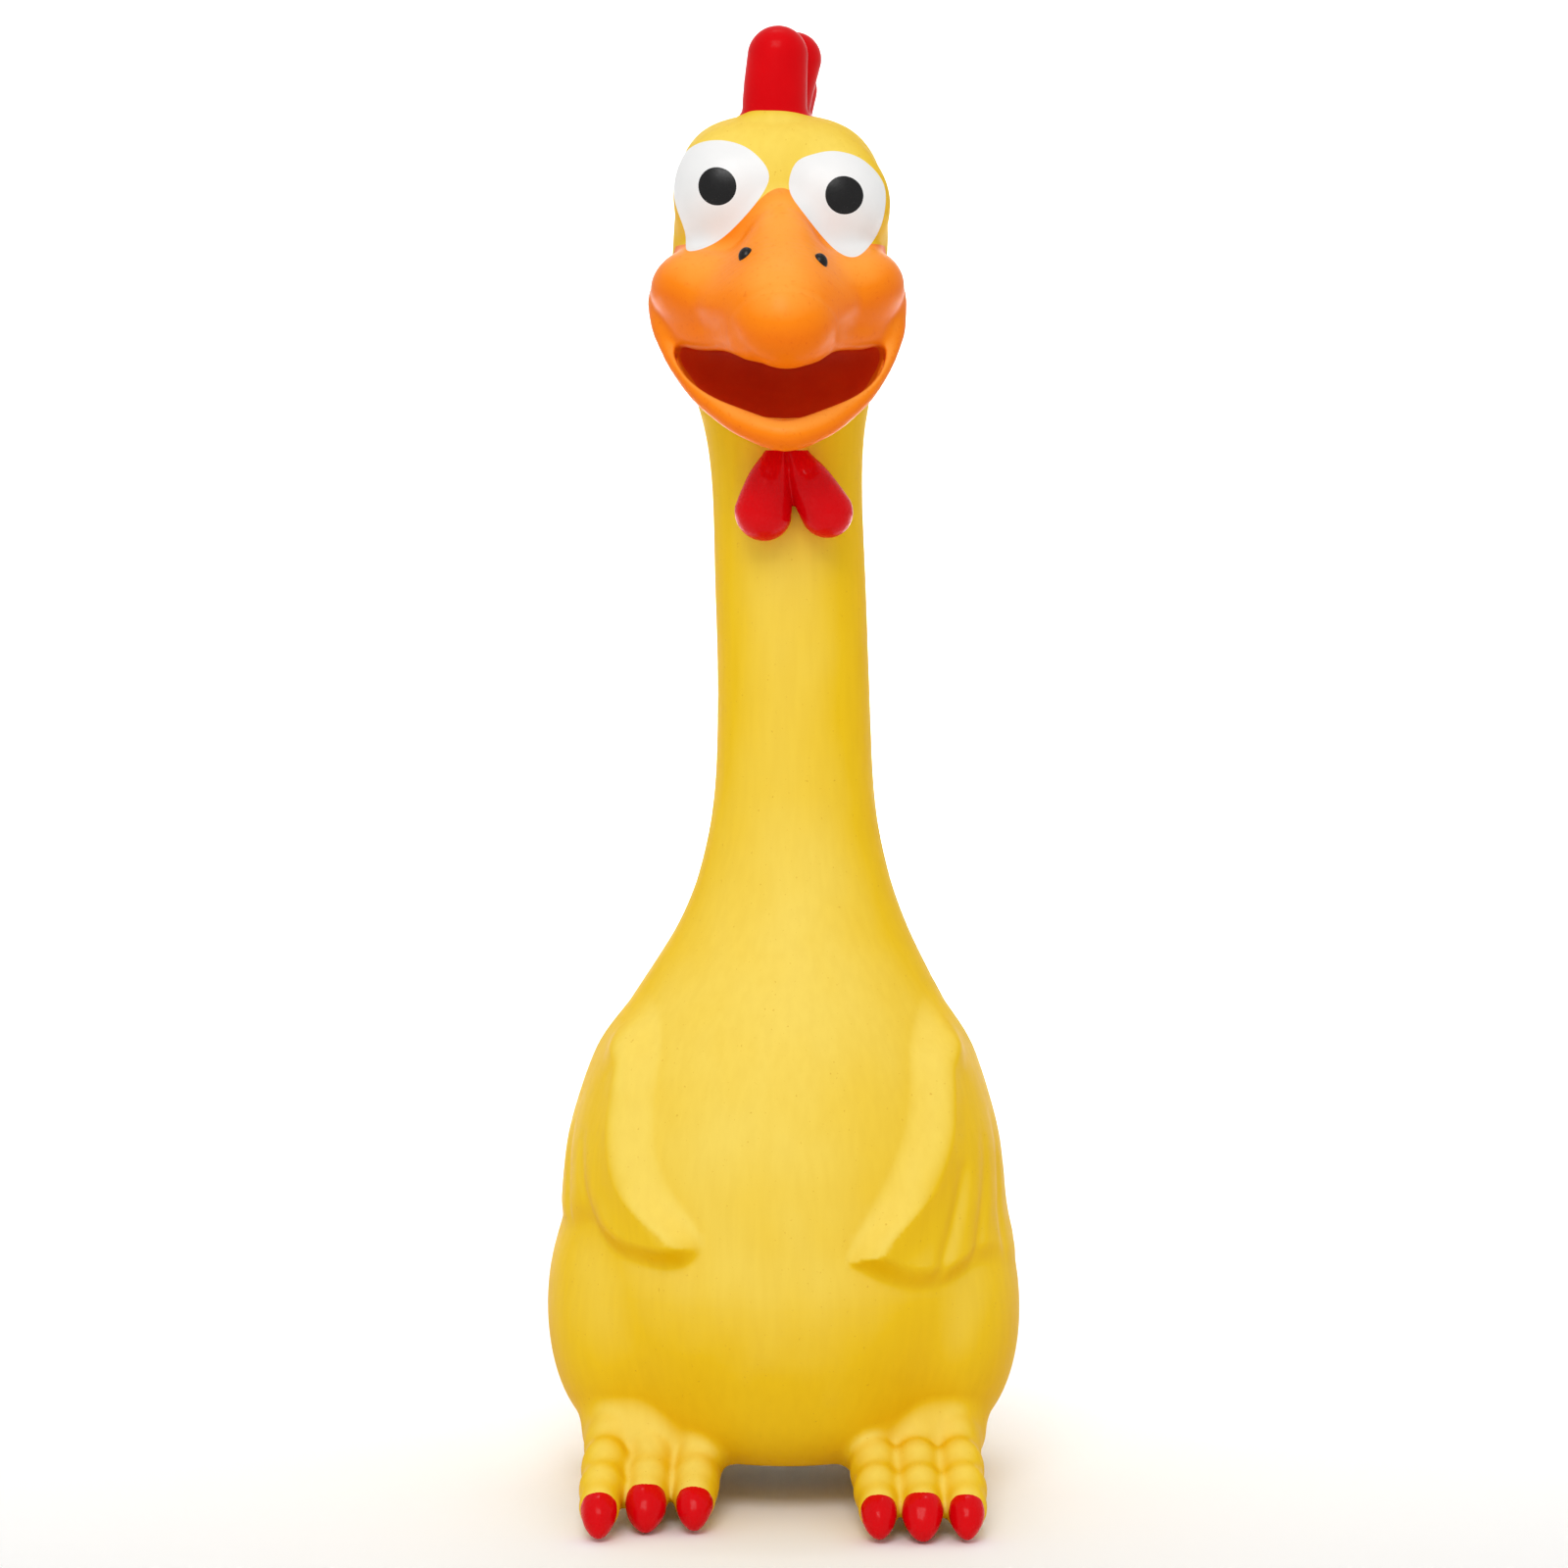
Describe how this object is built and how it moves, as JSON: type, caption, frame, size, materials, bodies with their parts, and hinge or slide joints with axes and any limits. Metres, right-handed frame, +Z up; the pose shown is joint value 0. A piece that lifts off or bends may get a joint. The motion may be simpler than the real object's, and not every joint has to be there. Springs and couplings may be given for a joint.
{
  "type": "rubber chicken",
  "caption": "Standing hollow latex squeeze-toy chicken with a bending neck, an open beak that gives, a floppy comb, and a squeaker in its base.",
  "frame": {"origin": "on the floor, under the middle of the toy's bounding box", "axes": "+Z up along the neck, the chicken faces -Y, +X is its own left"},
  "size_m": [0.0806, 0.088, 0.24],
  "materials": {
    "yellow_latex": "satin, painted slush-moulded latex",
    "red_paint": "gloss latex paint",
    "orange_paint": "satin latex paint",
    "mouth_paint": "satin latex paint",
    "white_paint": "gloss latex paint",
    "black_paint": "gloss latex paint",
    "squeaker_plastic": "moulded polyethylene",
    "reed_brass": "rolled shim"
  },
  "bodies": {
    "torso": {"belly_shell": "yellow_latex", "wing_left": "yellow_latex", "wing_right": "yellow_latex", "tail": "yellow_latex", "foot_left": "yellow_latex", "foot_right": "yellow_latex", "claw_left_inner": "red_paint", "claw_left_middle": "red_paint", "claw_left_outer": "red_paint", "claw_right_inner": "red_paint", "claw_right_middle": "red_paint", "claw_right_outer": "red_paint", "neck_flex_1": "yellow_latex", "squeaker_plug": "squeaker_plastic", "reed_tube": "squeaker_plastic", "reed_block": "squeaker_plastic", "reed_clip": "squeaker_plastic"},
    "belly_front": {"belly_press_patch": "yellow_latex"},
    "neck_low": {"neck_ring_1": "yellow_latex", "neck_flex_2": "yellow_latex"},
    "neck_mid": {"neck_ring_2": "yellow_latex", "neck_flex_3": "yellow_latex"},
    "neck_high": {"neck_ring_3": "yellow_latex", "neck_flex_4": "yellow_latex"},
    "head": {"head_shell": "yellow_latex", "mouth_lining": "mouth_paint", "upper_beak": "orange_paint", "nostrils": "black_paint", "eye_white_left": "white_paint", "eye_white_right": "white_paint", "pupil_left": "black_paint", "pupil_right": "black_paint", "wattle_left": "red_paint", "wattle_right": "red_paint", "comb_root": "red_paint"},
    "jaw": {"lower_beak": "orange_paint"},
    "comb": {"comb": "red_paint"},
    "reed": {"reed": "reed_brass"}
  },
  "joints": [
    {"name": "belly_press", "type": "slide", "parent": "torso", "child": "belly_front", "axis": [0, 1, 0], "range_m": [0, 0.008], "stiffness_N_per_m": 800},
    {"name": "neck_fold_low", "type": "hinge", "parent": "torso", "child": "neck_low", "pos_m": [0, 0, 0.096], "axis": [1, 0, 0], "range_deg": [-35, 35], "stiffness_Nm_per_rad": 0.6, "deforming": ["neck_flex_1"]},
    {"name": "neck_sway", "type": "hinge", "parent": "neck_low", "child": "neck_mid", "pos_m": [0, 0, 0.114], "axis": [0, 1, 0], "range_deg": [-40, 40], "stiffness_Nm_per_rad": 0.6, "deforming": ["neck_flex_2"]},
    {"name": "neck_fold_high", "type": "hinge", "parent": "neck_mid", "child": "neck_high", "pos_m": [0, 0, 0.132], "axis": [1, 0, 0], "range_deg": [-45, 45], "stiffness_Nm_per_rad": 0.5, "deforming": ["neck_flex_3"]},
    {"name": "head_twist", "type": "hinge", "parent": "neck_high", "child": "head", "pos_m": [0, 0, 0.15], "axis": [0, 0, 1], "range_deg": [-45, 45], "stiffness_Nm_per_rad": 0.2, "deforming": ["neck_flex_4"]},
    {"name": "jaw_pull", "type": "hinge", "parent": "head", "child": "jaw", "pos_m": [0, -0.004, 0.18], "axis": [1, 0, 0], "range_deg": [-4, 16], "stiffness_Nm_per_rad": 0.05, "deforming": ["mouth_lining"]},
    {"name": "comb_flop", "type": "hinge", "parent": "head", "child": "comb", "pos_m": [0, 0, 0.224], "axis": [0, 1, 0], "range_deg": [-18, 18], "stiffness_Nm_per_rad": 0.01, "deforming": ["comb_root"]},
    {"name": "reed_flutter", "type": "hinge", "parent": "torso", "child": "reed", "pos_m": [0, -0.0002, 0.0135], "axis": [1, 0, 0], "range_deg": [-1.5, 1.5], "stiffness_Nm_per_rad": 0.001}
  ]
}
